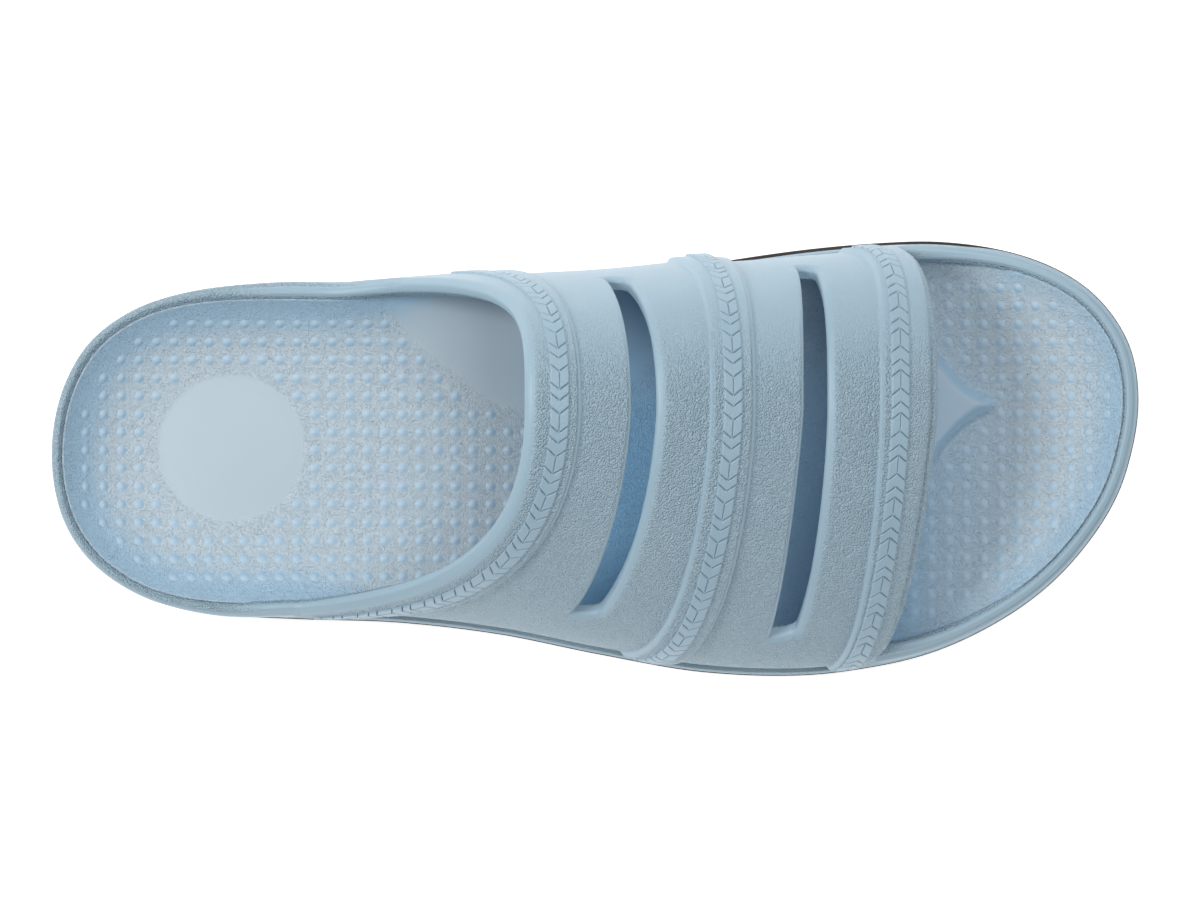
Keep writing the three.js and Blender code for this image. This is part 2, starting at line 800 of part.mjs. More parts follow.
export default sandal;
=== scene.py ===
"""The finish of a moulded foam slide sandal for the right foot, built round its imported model."""
import json
import math

import bmesh
import bpy
import numpy as np
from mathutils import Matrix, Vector
from mathutils.bvhtree import BVHTree
from mathutils.kdtree import KDTree

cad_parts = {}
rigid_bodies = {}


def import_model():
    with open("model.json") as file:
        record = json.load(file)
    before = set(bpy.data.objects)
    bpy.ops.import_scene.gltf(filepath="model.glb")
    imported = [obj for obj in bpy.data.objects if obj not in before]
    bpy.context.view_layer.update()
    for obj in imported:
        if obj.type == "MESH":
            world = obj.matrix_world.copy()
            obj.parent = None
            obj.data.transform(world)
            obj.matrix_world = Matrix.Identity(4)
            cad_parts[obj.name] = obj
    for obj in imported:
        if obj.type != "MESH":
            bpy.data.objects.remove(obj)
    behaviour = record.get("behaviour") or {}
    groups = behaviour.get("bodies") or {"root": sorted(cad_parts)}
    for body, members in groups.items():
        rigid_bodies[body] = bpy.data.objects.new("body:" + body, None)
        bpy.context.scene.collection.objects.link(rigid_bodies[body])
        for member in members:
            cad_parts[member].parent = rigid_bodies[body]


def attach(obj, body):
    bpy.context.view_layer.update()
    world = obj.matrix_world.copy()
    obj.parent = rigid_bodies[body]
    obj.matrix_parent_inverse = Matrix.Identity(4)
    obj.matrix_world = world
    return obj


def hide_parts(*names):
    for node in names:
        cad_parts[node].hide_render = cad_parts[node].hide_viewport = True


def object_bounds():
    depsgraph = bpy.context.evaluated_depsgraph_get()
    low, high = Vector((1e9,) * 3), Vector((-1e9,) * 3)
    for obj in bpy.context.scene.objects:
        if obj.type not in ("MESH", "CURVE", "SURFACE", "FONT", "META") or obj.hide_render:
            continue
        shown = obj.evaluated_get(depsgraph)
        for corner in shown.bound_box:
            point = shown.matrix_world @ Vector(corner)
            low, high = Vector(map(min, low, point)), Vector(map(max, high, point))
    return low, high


for leftover in list(bpy.data.objects):
    bpy.data.objects.remove(leftover)
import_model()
cad_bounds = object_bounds()

# Driving sizes, in metres. The toe points along +X and the big-toe side faces +Y.
shoe_length = cad_bounds[1].x - cad_bounds[0].x
ball_width = 0.1105
heel_stack = 0.030
outsole_thickness = 0.005
tread_depth = 0.0022
groove_width = 0.0036
toe_spring = 0.011
heel_spring = 0.004
waist_lift = 0.002
instep_height = 0.093
toe_edge_height = 0.060
crown_offset = 0.013
strap_wall = 0.0035
band_relief = 0.0012
step_up_length = 0.0012
step_down_length = 0.0006
lip_height = 0.0011
lip_lean = 0.0005

# How much further out the heel rim stands, at its foot and in the lean of its lip
heel_rim_out = 0.0009
heel_rim_upright = 0.0003
heel_rim_end = 0.3
heel_rim_fade = 0.1

spring_above_crease = 0.001
heel_disc_radius = 0.0185
heel_disc_rise = 0.0013
arch_rise = 0.0035
toe_ridge_rise = 0.0030

# How far one piece of foam runs into the next, so that no gap shows between them
bond_depth = 0.0003

# Where the ground contact ends and how the sole lifts off the floor, as shares of the length
heel_lift_end = 0.1
toe_lift_start = 0.79
waist_middle = 0.48
waist_reach = 0.075

# Fullness of the arch over the foot: 2 is an ellipse, more is squarer
lateral_fullness = 1.85
medial_fullness = 2.3

# Length of the arch of the upper from its spring line to its crown, on either side
lateral_arch = 0.104
medial_arch = 0.086

# Stops round the arch, 0 at the spring line and 1 at the crown
rim_stop = 0.1
slot_lateral_stop = 0.3
slot_medial_stop = 0.26

# Rounding of the openings. A slot's front edge is rolled over and bends back at both ends.
collar_roll_depth = 0.0009
collar_roll_reach = 0.0015
slot_roll_depth = 0.00025
slot_roll_reach = 0.0005
front_roll_depth = 0.0009
front_roll_reach = 0.0020
lateral_corner = 0.0036
medial_corner = 0.0052
corner_reach = 0.012
corner_fade = 0.008
rim_blend_length = 0.022
smooth_start = 0.014
smooth_end = 0.044
rim_step = 0.0013
grain_fade = 0.0006
slot_grain_fade = 0.0004
lip_roundness = 2.8

# The rim's inner edge stands higher where the footbed sweeps up to it
inner_rim_lift = 0.0006
edge_below_rim = 0.00028
sweep_heel_end = 0.36
sweep_heel_extra = 0.08
sweep_heel_fade = 0.16
sweep_toe_start = 0.84
sweep_toe_fade = 0.06
sweep_side = 0.03

# Mesh fineness
skin_step = 0.001
fine_step = 0.00045
weld_grid = 2e-6


def table(columns, *rows):
    """A table with named columns."""
    return {name: np.array(values, float) for name, values in zip(columns.split(), zip(*rows))}


# Outline of the sole seen from above. Sides are shares of the ball width.
outline_table = table(
    "along medial lateral",
    (0, 0.009, -0.009),
    (0.0032, 0.095, 0.075),
    (0.0125, 0.174, 0.15),
    (0.031, 0.255, 0.222),
    (0.0587, 0.317, 0.282),
    (0.0956, 0.362, 0.328),
    (0.151, 0.393, 0.359),
    (0.225, 0.405, 0.37),
    (0.317, 0.398, 0.378),
    (0.41, 0.393, 0.405),
    (0.502, 0.409, 0.451),
    (0.594, 0.446, 0.491),
    (0.687, 0.480, 0.5),
    (0.761, 0.497, 0.478),
    (0.816, 0.5, 0.442),
    (0.872, 0.482, 0.375),
    (0.918, 0.445, 0.292),
    (0.955, 0.388, 0.19),
    (0.9825, 0.307, 0.074),
    (0.9954, 0.232, -0.034),
    (1, 0.136, -0.136),
)

# Heights above the ground line as shares of the heel stack
layer_table = table(
    "along parting seat crease rim",
    (0, 0.53, 0.90, 1.02, 1.25),
    (0.08, 0.60, 0.95, 1.10, 1.34),
    (0.2, 0.60, 0.99, 1.10, 1.34),
    (0.35, 0.58, 1.00, 1.07, 1.36),
    (0.5, 0.52, 0.91, 0.98, 1.28),
    (0.65, 0.51, 0.82, 0.90, 1.12),
    (0.8, 0.50, 0.76, 0.84, 1.00),
    (0.9, 0.45, 0.70, 0.79, 0.94),
    (1, 0.37, 0.58, 0.66, 0.80),
)

# Insets of the upper's wall from the outline, as shares of the ball width
wall_table = table(
    "along panel inner bulge",
    (0, 0.018, 0.027, 0),
    (0.1, 0.018, 0.028, 0),
    (0.2, 0.018, 0.040, 0),
    (0.26, 0.018, 0.047, 0.006),
    (0.3, 0.018, 0.049, 0.020),
    (0.41, 0.018, 0.050, 0.047),
    (0.5, 0.019, 0.051, 0.045),
    (0.594, 0.019, 0.051, 0.029),
    (0.618, 0.019, 0.051, 0.016),
    (0.687, 0.019, 0.051, 0.004),
    (0.78, 0.019, 0.050, 0),
    (0.9, 0.018, 0.045, 0),
    (1, 0.017, 0.042, 0),
)

# Edges that cross the upper, heel to toe, from the little-toe side over the crown to the
# big-toe side. "bow" bends an edge forward, "hold" keeps its foot upright up to the rim,
# "back" and "front" say what is raised behind and before it.
edge_table = table(
    "crown lateral lateral_bow medial medial_bow hold back front",
    (0.439, 0.2273, 2.4, 0.3193, 3.6, 0.1, 1, 1),
    (0.4851, 0.2642, 2.1, 0.4114, 2.3, 0, 1, 0),
    (0.532, 0.4298, 1.7, 0.4897, 1.9, 0, 0, 0),
    (0.556, 0.4528, 1.7, 0.5016, 1.9, 0, 0, 0),
    (0.6057, 0.5238, 1.65, 0.5661, 2.4, 0, 0, 1),
    (0.6444, 0.5633, 1.75, 0.6159, 2.3, 0, 1, 0),
    (0.6896, 0.6398, 1.33, 0.6693, 4, 0, 0, 0),
    (0.7126, 0.6555, 1.7, 0.6859, 2.4, 0, 0, 0),
    (0.7613, 0.7135, 1.7, 0.7245, 4, 0, 0, 1),
    (0.8084, 0.7577, 1.4, 0.7798, 2.5, 0.1, 1, 1),
)
slot_edges = ((2, 3), (6, 7))
band_edges = {"collar": (0, 1), "instep": (4, 5), "toe": (8, 9)}

# Grooves across the tread
groove_table = table(
    "start end count bow",
    (0.075, 0.315, 5, 0.03),
    (0.575, 0.925, 7, 0.035),
)


def clamp01(value):
    return np.clip(value, 0.0, 1.0)


def ease(value):
    share = clamp01(value)
    return share * share * (3 - 2 * share)


def lerp(a, b, share):
    return a + (b - a) * share


def unit(vectors):
    return vectors / np.maximum(np.linalg.norm(vectors, axis=-1, keepdims=True), 1e-12)


def smooth_curve(x, y):
    """A curve through knots, with slopes from each knot's two neighbours."""
    x, y = np.asarray(x, float), np.asarray(y, float)
    ahead = np.minimum(np.arange(len(x)) + 1, len(x) - 1)
    behind = np.maximum(np.arange(len(x)) - 1, 0)
    slopes = (y[ahead] - y[behind]) / (x[ahead] - x[behind])

    def curve(place):
        place = np.clip(place, x[0], x[-1])
        i = np.clip(np.searchsorted(x, place) - 1, 0, len(x) - 2)
        span = x[i + 1] - x[i]
        s = (place - x[i]) / span
        knots = y[i] * (s * s * (2 * s - 3) + 1) + y[i + 1] * s * s * (3 - 2 * s)
        pulls = slopes[i] * s * (s - 1) ** 2 + slopes[i + 1] * s * s * (s - 1)
        return knots + pulls * span

    return curve


def graded(marks, fine_at, step, fine, reach):
    """Places through all marks, a step apart and closer together near those in fine_at."""
    places = [np.array(marks[:1])]
    for a, b in zip(marks[:-1], marks[1:]):
        x = np.linspace(a, b, 200)
        near = np.abs(x[:, None] - np.array(fine_at)).min(axis=1)
        density = 1 / lerp(fine, step, ease(near / reach))
        total = np.concatenate([[0], np.cumsum((density[1:] + density[:-1]) / 2 * np.diff(x))])
        count = max(1, round(total[-1]))
        places.append(np.interp(np.linspace(0, total[-1], count + 1)[1:], total, x))
    return np.concatenate(places)


def along_of(x):
    return clamp01(x / shoe_length + 0.5)


def x_of(along):
    return (along - 0.5) * shoe_length


# The outline is walked by a turn: 0 heel tip, little-toe side, pi toe tip, big-toe side


def turn_of(along):
    return np.arccos(1 - 2 * along)


def outline_curve():
    turns = turn_of(outline_table["along"])
    there = list(zip(turns, -outline_table["lateral"]))
    back = list(zip(2 * math.pi - turns, outline_table["medial"]))[-2::-1]
    knots = there + back
    first = (knots[-2][0] - 2 * math.pi, knots[-2][1])
    last = (knots[1][0] + 2 * math.pi, knots[1][1])
    return smooth_curve(*zip(first, *knots, last))


outline_side = outline_curve()


def outline_point(turn):
    turn = np.mod(turn, 2 * math.pi)
    return np.stack([-0.5 * shoe_length * np.cos(turn), outline_side(turn) * ball_width], -1)


def inset_point(turn, inset):
    """A point moved inwards from the outline, square to it."""
    run = outline_point(turn + 0.01) - outline_point(turn - 0.01)
    inward = unit(np.stack([-run[..., 1], run[..., 0]], -1))
    return outline_point(turn) + inward * np.asarray(inset)[..., None]


def side_at(x, medial):
    turn = turn_of(along_of(x))
    return outline_point(np.where(medial, 2 * math.pi - turn, turn))[..., 1]


def middle_at(x):
    return (side_at(x, True) + side_at(x, False)) / 2


layer_curves = {
    name: smooth_curve(layer_table["along"], layer_table[name])
    for name in ("parting", "seat", "crease", "rim")
}
wall_curves = {
    name: smooth_curve(wall_table["along"], wall_table[name])
    for name in ("panel", "inner", "bulge")
}


def ground_height(x):
    along = along_of(x)
    heel = clamp01((heel_lift_end - along) / heel_lift_end) ** 2
    toe = clamp01((along - toe_lift_start) / (1 - toe_lift_start)) ** 2
    waist = ease(1 - np.abs(along - waist_middle) / waist_reach)
    return heel_spring * heel + toe_spring * toe + waist_lift * waist


def layer_height(layer, x):
    return ground_height(x) + heel_stack * layer_curves[layer](along_of(x))


def foot_height(x):
    return layer_height("parting", x) - bond_depth


def spring_height(x):
    return layer_height("crease", x) + spring_above_crease


def wall_inset(face, x, medial, rise):
    along = along_of(x)
    bulge = np.where(medial, rise * wall_curves["bulge"](along), 0)
    return (wall_curves[face](along) - bulge) * ball_width


# Meshes


class Skin:
    """Collects patches of points and joins them into one mesh."""

    def __init__(self):
        self.points = []
        self.masks = []
        self.quads = []
        self.count = 0

    def patch(self, points, keep=None, mask=0.0):
        """Rows of points. Faces look along (next row) x (next point in the row)."""
        rows, columns = points.shape[:2]
        index = self.count + np.arange(rows * columns).reshape(rows, columns)
        quads = np.stack([index[:-1, :-1], index[1:, :-1], index[1:, 1:], index[:-1, 1:]], -1)
        if keep is not None:
            quads = quads[keep]
        self.points.append(points.reshape(-1, 3))
        self.masks.append(np.broadcast_to(mask, (rows, columns)).reshape(-1))
        self.quads.append(quads.reshape(-1, 4))
        self.count += rows * columns

    def welded(self):
        """Points, quads and masks with the points that fall together made one."""
        points = np.concatenate(self.points)
        keys = np.round(points / weld_grid).astype(np.int64)
        _, first, same = np.unique(keys, axis=0, return_index=True, return_inverse=True)
        same = same.reshape(-1)
        return points[first], same[np.concatenate(self.quads)], same, first

    def mesh(self, name, closed=True):
        points, quads, _, first = self.welded()
        faces = []
        for quad in quads.tolist():
            face = list(dict.fromkeys(quad))
            if len(face) > 2:
                faces.append(face)
        mesh = bpy.data.meshes.new(name)
        mesh.from_pydata(points.tolist(), [], faces)
        mesh.validate()
        mask = mesh.attributes.new("plain", "FLOAT", "POINT")
        if len(mesh.vertices) == len(points):
            mask.data.foreach_set("value", np.concatenate(self.masks)[first].astype(np.float32))
        if closed:
            work = bmesh.new()
            work.from_mesh(mesh)
            bmesh.ops.recalc_face_normals(work, faces=work.faces)
            work.to_mesh(mesh)
            work.free()
        mesh.shade_smooth()
        return mesh


def add_piece(name, mesh, material, slot, *replaced):
    piece = bpy.data.objects.new(name, mesh)
    bpy.context.scene.collection.objects.link(piece)
    mesh.materials.append(material)
    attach(piece, "root")
    if replaced:
        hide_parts(*replaced)
    return piece


def ring(points):
    """Closes a loop of points or rows of points."""
    return np.concatenate([points, points[:1]])


def xyz(x, y, z):
    return np.stack(np.broadcast_arrays(x, y, z), -1)


def sole_ring(turns, inset, height):
    point = inset_point(turns, inset(outline_point(turns)[..., 0], turns))
    return xyz(point[..., 0], point[..., 1], height(point[..., 0]))


def halves(points):
    """The little-toe and the big-toe half of a ring of the sole, both from heel to toe."""
    half = len(points) // 2
    return points[: half + 1], points[[(len(points) - i) % len(points) for i in range(half + 1)]]


def cap(skin, points, facing_up):
    """Closes a ring of the sole with strips that run across it."""
    lateral, medial = halves(points)
    skin.patch(np.stack([medial, lateral] if facing_up else [lateral, medial]))


# Upper

wall_shares = np.linspace(0, 1, 9)[:-1]
low_stops = np.linspace(0, rim_stop, 9)


def arch_stops(slot_stop, arch):
    marks = [rim_stop, slot_stop, 1.0]
    return graded(marks, [slot_stop], skin_step / arch, fine_step / arch, 0.004 / arch)[1:]


def upper_rows():
    """Stops up the little-toe side, over the crown and down the big-toe side."""
    lateral_arch_stops = np.concatenate([low_stops, arch_stops(slot_lateral_stop, lateral_arch)])
    medial_arch_stops = np.concatenate([low_stops, arch_stops(slot_medial_stop, medial_arch)[:-1]])
    lateral_wall = np.concatenate([wall_shares, np.ones(len(lateral_arch_stops))])
    lateral_stop = np.concatenate([wall_shares * 0, lateral_arch_stops])
    medial_wall = np.concatenate([wall_shares, np.ones(len(medial_arch_stops))])
    medial_stop = np.concatenate([wall_shares * 0, medial_arch_stops])
    return {
        "medial": np.arange(len(lateral_wall) + len(medial_wall)) >= len(lateral_wall),
        "wall": np.concatenate([lateral_wall, medial_wall[::-1]]),
        "stop": np.concatenate([lateral_stop, medial_stop[::-1]]),
    }


rows = upper_rows()
row_count = len(rows["stop"])
rim_row = len(wall_shares) + len(low_stops) - 1
slot_first_row = int(np.argmin(np.abs(rows["stop"] - slot_lateral_stop) + rows["medial"]))
slot_last_row = int(np.argmin(np.abs(rows["stop"] - slot_medial_stop) + ~rows["medial"]))


def rib_curves():
    """Every value of a rib as a curve over its place along the crown."""
    stepped = edge_table["back"] != edge_table["front"]
    knots = {name: [] for name in edge_table}
    for i, step in enumerate(stepped):
        rises = edge_table["front"][i] > edge_table["back"][i]
        half = (step_up_length if rises else step_down_length) / shoe_length / 2
        for shift, side in ((-half, "back"), (half, "front")) if step else ((0, "back"),):
            for name in ("crown", "lateral", "medial"):
                knots[name].append(edge_table[name][i] + shift)
            for name in ("lateral_bow", "medial_bow", "hold"):
                knots[name].append(edge_table[name][i])
            knots["front"].append(edge_table[side][i])
    return knots


rib_knots = rib_curves()


def rib_at(crown):
    """The rib whose crown lies at a place along the shoe."""
    rib = {name: np.interp(crown, rib_knots["crown"], rib_knots[name]) for name in
           ("lateral", "lateral_bow", "medial", "medial_bow", "hold")}
    rib["relief"] = ease(np.interp(crown, rib_knots["crown"], rib_knots["front"]))
    return rib


crown_back = edge_table["crown"][0]
crown_front = edge_table["crown"][-1]


def crown_height(crown):
    fall = clamp01((crown_front - crown) / (crown_front - crown_back))
    return toe_edge_height + (instep_height - toe_edge_height) * fall ** 0.85


def upper_point(crown, row, face):
    """Points of the upper on the rib with this crown, at these rows."""
    rib = rib_at(crown)
    medial = row["medial"]
    bow = np.where(medial, rib["medial_bow"], rib["lateral_bow"])
    foot = np.where(medial, rib["medial"], rib["lateral"])
    full = np.where(medial, medial_fullness, lateral_fullness)
    climb = clamp01((row["stop"] - rib["hold"]) / (1 - rib["hold"]))
    x = x_of(lerp(foot, crown, 1 - (1 - climb) ** bow))
    angle = row["stop"] * math.pi / 2
    outward = np.maximum(np.cos(angle), 0) ** (2 / full)
    upward = np.sin(angle) ** (2 / full)
    outer = face == "outer"
    raised = rib["relief"] * band_relief if outer else 0
    inset = wall_inset("panel" if outer else "inner", x, medial, row["wall"]) - raised
    side = side_at(x, medial) + np.where(medial, -inset, inset)
    crown_z = crown_height(crown) + raised - (0 if outer else strap_wall)
    low = lerp(foot_height(x), spring_height(x), row["wall"])
    high = lerp(spring_height(x), crown_z, upward)
    return xyz(x, lerp(crown_offset, side, outward), np.where(row["wall"] < 1, low, high))


def upper_crowns():
    """Places of the grid's ribs along the crown."""
    marks = sorted(set(rib_knots["crown"]))
    step = skin_step / shoe_length
    return graded(marks, marks, step, step * 0.45, 2.5 * step)


crowns = upper_crowns()
slot_ribs = [tuple(int(np.argmin(np.abs(crowns - edge_table["crown"][i]))) for i in pair)
             for pair in slot_edges]


def slot_corners():
    """How far each grid point moves up its rib, which rounds the front corners of the slots."""
    from_lateral = np.abs(rows["stop"] - slot_lateral_stop) * lateral_arch
    from_medial = np.abs(rows["stop"] - slot_medial_stop) * medial_arch
    lateral = lateral_corner / lateral_arch * ease(1 - from_lateral / corner_reach)
    medial = medial_corner / medial_arch * ease(1 - from_medial / corner_reach)
    height = np.where(rows["medial"], medial, lateral)
    lift = np.zeros((len(crowns), row_count))
    for back, front in slot_ribs:
        across = clamp01((crowns - crowns[back]) / (crowns[front] - crowns[back]))
        bend = 1 - np.sqrt(1 - across**2)
        ahead = ease(1 - (crowns - crowns[front]) * shoe_length / corner_fade)
        lift += (bend * ahead)[:, None] * height[None, :]
    return lift


def rim_sweep(x, y):
    """1 where the footbed's edge sweeps up to the rim: round the heel and the toe."""
    along = along_of(x)
    heel_end = sweep_heel_end + sweep_heel_extra * ease(y / sweep_side)
    heel = ease((heel_end - along) / sweep_heel_fade)
    return np.maximum(heel, ease((along - sweep_toe_start) / sweep_toe_fade))


def rim_column(turn, face, first, last):
    """Columns of the rim round the heel or toe, which start and end on given strap columns."""
    levels = {name: values[: rim_row + 1][None, :] for name, values in rows.items()}
    edge_x = outline_point(turn)[..., 0][:, None]
    medial = ((turn < 0) | (turn > math.pi))[:, None]
    outer = face == "outer"
    inset = wall_inset("panel" if outer else "inner", edge_x, medial, levels["wall"])
    climb = levels["stop"] / rim_stop
    if outer:
        heel = ease((heel_rim_end - along_of(edge_x)) / heel_rim_fade)
        lean = lip_lean - heel_rim_upright * heel
        inset = inset - band_relief - heel_rim_out * heel + lean * climb
    place = inset_point(np.broadcast_to(turn[:, None], inset.shape), inset)
    x = place[..., 0]
    low = lerp(foot_height(x), spring_height(x), levels["wall"])
    top = layer_height("rim", x) - lip_height
    if not outer:
        top = top + inner_rim_lift * rim_sweep(x, place[..., 1])
    high = lerp(spring_height(x), top, climb)
    points = xyz(x, place[..., 1], np.where(levels["wall"] < 1, low, high))
    run = np.concatenate([[0], np.cumsum(np.linalg.norm(np.diff(outline_point(turn), axis=0), axis=1))])
    start = 1 - ease(run / rim_blend_length)
    end = 1 - ease((run[-1] - run) / rim_blend_length)
    points = points + (first - points[0])[None] * start[:, None, None]
    return points + (last - points[-1])[None] * end[:, None, None]


def rim_turns(start, end):
    length = np.linalg.norm(np.diff(outline_point(np.linspace(start, end, 300)), axis=0), axis=1).sum()
    return np.linspace(start, end, round(length / rim_step))


def upper_face(face):
    """One face of the upper: its strap grid and its rims round the heel and toe."""
    row = {name: values[None, :] for name, values in rows.items()}
    row["stop"] = row["stop"] + slot_corners()
    straps = upper_point(crowns[:, None], row, face)
    lateral = slice(0, rim_row + 1)
    medial = slice(row_count - 1, row_count - rim_row - 2, -1)
    heel_turns = rim_turns(turn_of(edge_table["lateral"][0]), -turn_of(edge_table["medial"][0]))
    toe_start = 2 * math.pi - turn_of(edge_table["medial"][-1])
    toe_turns = rim_turns(toe_start, turn_of(edge_table["lateral"][-1]))
    heel = rim_column(heel_turns, face, straps[0, lateral], straps[0, medial])
    toe = rim_column(toe_turns, face, straps[-1, medial], straps[-1, lateral])
    return {"straps": straps, "heel": heel, "toe": toe}


def strap_faces():
    """Which faces of the strap grid there are: all but those in the slots."""
    keep = np.ones((len(crowns) - 1, row_count - 1), bool)
    for back, front in slot_ribs:
        keep[back:front, slot_first_row:slot_last_row] = False
    return keep


def opening_loops(face):
    """The closed edges of a face of the upper, each as a ring of points without its repeat."""
    straps, heel, toe = face["straps"], face["heel"], face["toe"]
    over = slice(rim_row, row_count - rim_row)
    collar = np.concatenate([straps[0, over], heel[-2:0:-1, rim_row]])
    mouth = np.concatenate([straps[-1, over][::-1], toe[-2:0:-1, rim_row]])
    slots, fronts = [], []
    for back, front in slot_ribs:
        span = slice(slot_first_row, slot_last_row + 1)
        sides = [straps[back, span], straps[back + 1 : front, slot_last_row]]
        sides += [straps[front, span][::-1], straps[back + 1 : front, slot_first_row][::-1]]
        slots.append(np.concatenate(sides))
        fronts.append(np.concatenate(sides[1:]))
    return {"collar": collar, "mouth": mouth, "slots": slots, "fronts": fronts, "toe_rim": toe[:, rim_row]}


def distance_to(points, lines):
    """Distance of each point to the nearest of the lines."""
    parts = []
    for line in lines:
        parts += [lerp(line[:-1], line[1:], share) for share in (0, 0.25, 0.5, 0.75)]
    marks = np.concatenate(parts)
    tree = KDTree(len(marks))
    for i, mark in enumerate(marks):
        tree.insert(mark, i)
    tree.balance()
    return np.array([tree.find(point)[2] for point in points])


def heel_grain_end(x):
    """The rim is grained round the heel and smooth from there on."""
    return ease((along_of(x) - 0.14) / 0.08)


def medial_fade(y):
    """The grain runs out towards the big-toe side, where the mould is smooth."""
    return 0.85 * ease((y - smooth_start) / (smooth_end - smooth_start))


def rolled(face, way):
    """Bends a face of the upper towards the wall's middle close to every opening."""
    skin = Skin()
    names = ("straps", "heel", "toe")
    for name in names:
        points = face[name] if name == "straps" else face[name][::-1]
        skin.patch(points, strap_faces() if name == "straps" else None)
    points, quads, same, _ = skin.welded()
    corners = points[quads]
    normals = np.zeros_like(points)
    across = np.cross(corners[:, 2] - corners[:, 0], corners[:, 3] - corners[:, 1])
    for k in range(4):
        np.add.at(normals, quads[:, k], across)
    normals = unit(normals)
    loops = opening_loops(face)
    lips = distance_to(points, [ring(loops["collar"]), ring(loops["mouth"])])
    slots = distance_to(points, [ring(loop) for loop in loops["slots"]])
    fronts = distance_to(points, loops["fronts"])
    bend = collar_roll_depth * clamp01(1 - lips / collar_roll_reach) ** 2
    bend += slot_roll_depth * clamp01(1 - slots / slot_roll_reach) ** 2
    if way < 0:
        bend += front_roll_depth * clamp01(1 - fronts / front_roll_reach) ** 2
    points = points + normals * (bend * way)[:, None]
    rims = distance_to(points, [ring(loops["collar"]), loops["toe_rim"]])
    plain = 1 - ease((rims - collar_roll_reach) / grain_fade)
    plain *= heel_grain_end(points[:, 0])
    plain = np.maximum(plain, 1 - ease((slots - slot_roll_reach) / slot_grain_fade))
    plain = np.maximum(plain, 1 - ease((fronts - 0.8 * front_roll_reach) / grain_fade))
    plain = np.maximum(plain, medial_fade(points[:, 1]))
    bent, masks, count = {}, {}, 0
    for name in names:
        size = face[name].shape[0] * face[name].shape[1]
        part = same[count : count + size]
        bent[name] = points[part].reshape(face[name].shape)
        masks[name] = plain[part].reshape(face[name].shape[:2])
        if name != "straps":
            bent[name], masks[name] = bent[name][::-1], masks[name][::-1]
        count += size
    return bent, masks


def step_edges():
    """1 on the ribs where a band steps up or down, which are left without grain."""
    stepped = edge_table["back"] != edge_table["front"]
    away = np.abs(crowns[:, None] - edge_table["crown"][stepped]).min(axis=1) * shoe_length
    return 1 - ease((away - 0.0003) / 0.0006)


def toe_rim_share(loop, face):
    """1 along the toe rim and 0 along the front edge of the toe strap."""
    count = face["toe"].shape[0] - 2
    run = (np.arange(count) + 0.5) * rim_step
    toe = ease(np.minimum(run, run[::-1]) / 0.006)
    return np.concatenate([np.zeros(len(loop) - count), toe])


def lip(skin, outer, inner, swell, steps, plain=1.0):
    """A rounded strip from the outer to the inner edge of an opening."""
    run = unit(np.roll(outer, -1, axis=0) - np.roll(outer, 1, axis=0))
    across = inner - outer
    out = unit(np.cross(run, across)) * swell
    shares = np.linspace(0, 1, steps + 1)
    bulge = np.sqrt(np.maximum(1 - np.abs(2 * shares - 1) ** lip_roundness, 0))
    strip = outer[:, None] + across[:, None] * shares[None, :, None] + out[:, None] * bulge[None, :, None]
    masks = np.broadcast_to(np.asarray(plain, float), len(outer))
    skin.patch(ring(strip), mask=ring(masks)[:, None])


def upper_mesh():
    skin = Skin()
    outer_face, inner_face = upper_face("outer"), upper_face("inner")
    outer, masks = rolled(outer_face, -1)
    inner, _ = rolled(inner_face, 1)
    masks["straps"] = np.maximum(masks["straps"], step_edges()[:, None])
    skin.patch(outer["straps"], strap_faces(), masks["straps"])
    skin.patch(inner["straps"][::-1], strap_faces()[::-1])
    for name in ("heel", "toe"):
        skin.patch(outer[name][::-1], mask=masks[name])
        skin.patch(inner[name])
    outer_loops, inner_loops = opening_loops(outer), opening_loops(inner)
    collar, mouth = outer_loops["collar"], outer_loops["mouth"]
    lip(skin, collar, inner_loops["collar"], lip_height, 10, heel_grain_end(collar[:, 0]))
    lip(skin, mouth, inner_loops["mouth"], lip_height, 10, toe_rim_share(mouth, outer))
    for outer_slot, inner_slot in zip(outer_loops["slots"], inner_loops["slots"]):
        lip(skin, outer_slot, inner_slot, 0.0, 5)
    feet = []
    for face in (outer, inner):
        feet.append(np.concatenate([
            face["heel"][:0:-1, 0], face["straps"][:-1, 0],
            face["toe"][:0:-1, 0], face["straps"][:0:-1, -1],
        ]))
    skin.patch(np.stack([ring(feet[0]), ring(feet[1])]))
    return skin.mesh("upper_shell")


# Herringbone rows on the bands

chevron_half_width = 0.0025
chevron_point = 0.0019
chevron_height = 0.00048
chevron_sink = 0.0002
groove_half_width = 0.0003
centre_groove_half_width = 0.0002
chevron_end_fade = 0.002

# Lengths of the long, short and middling blocks, in the direction in which the chevrons point
block_lengths = (0.0047, 0.0027, 0.0034)
block_step = 0.0005

# Place of the rows across a band, from its back edge to its front edge
row_places = {"collar": 0.6, "instep": 0.5, "toe": 0.36}


def along_line(places, run, values):
    return np.stack([np.interp(places, run, values[:, k]) for k in range(3)], -1)


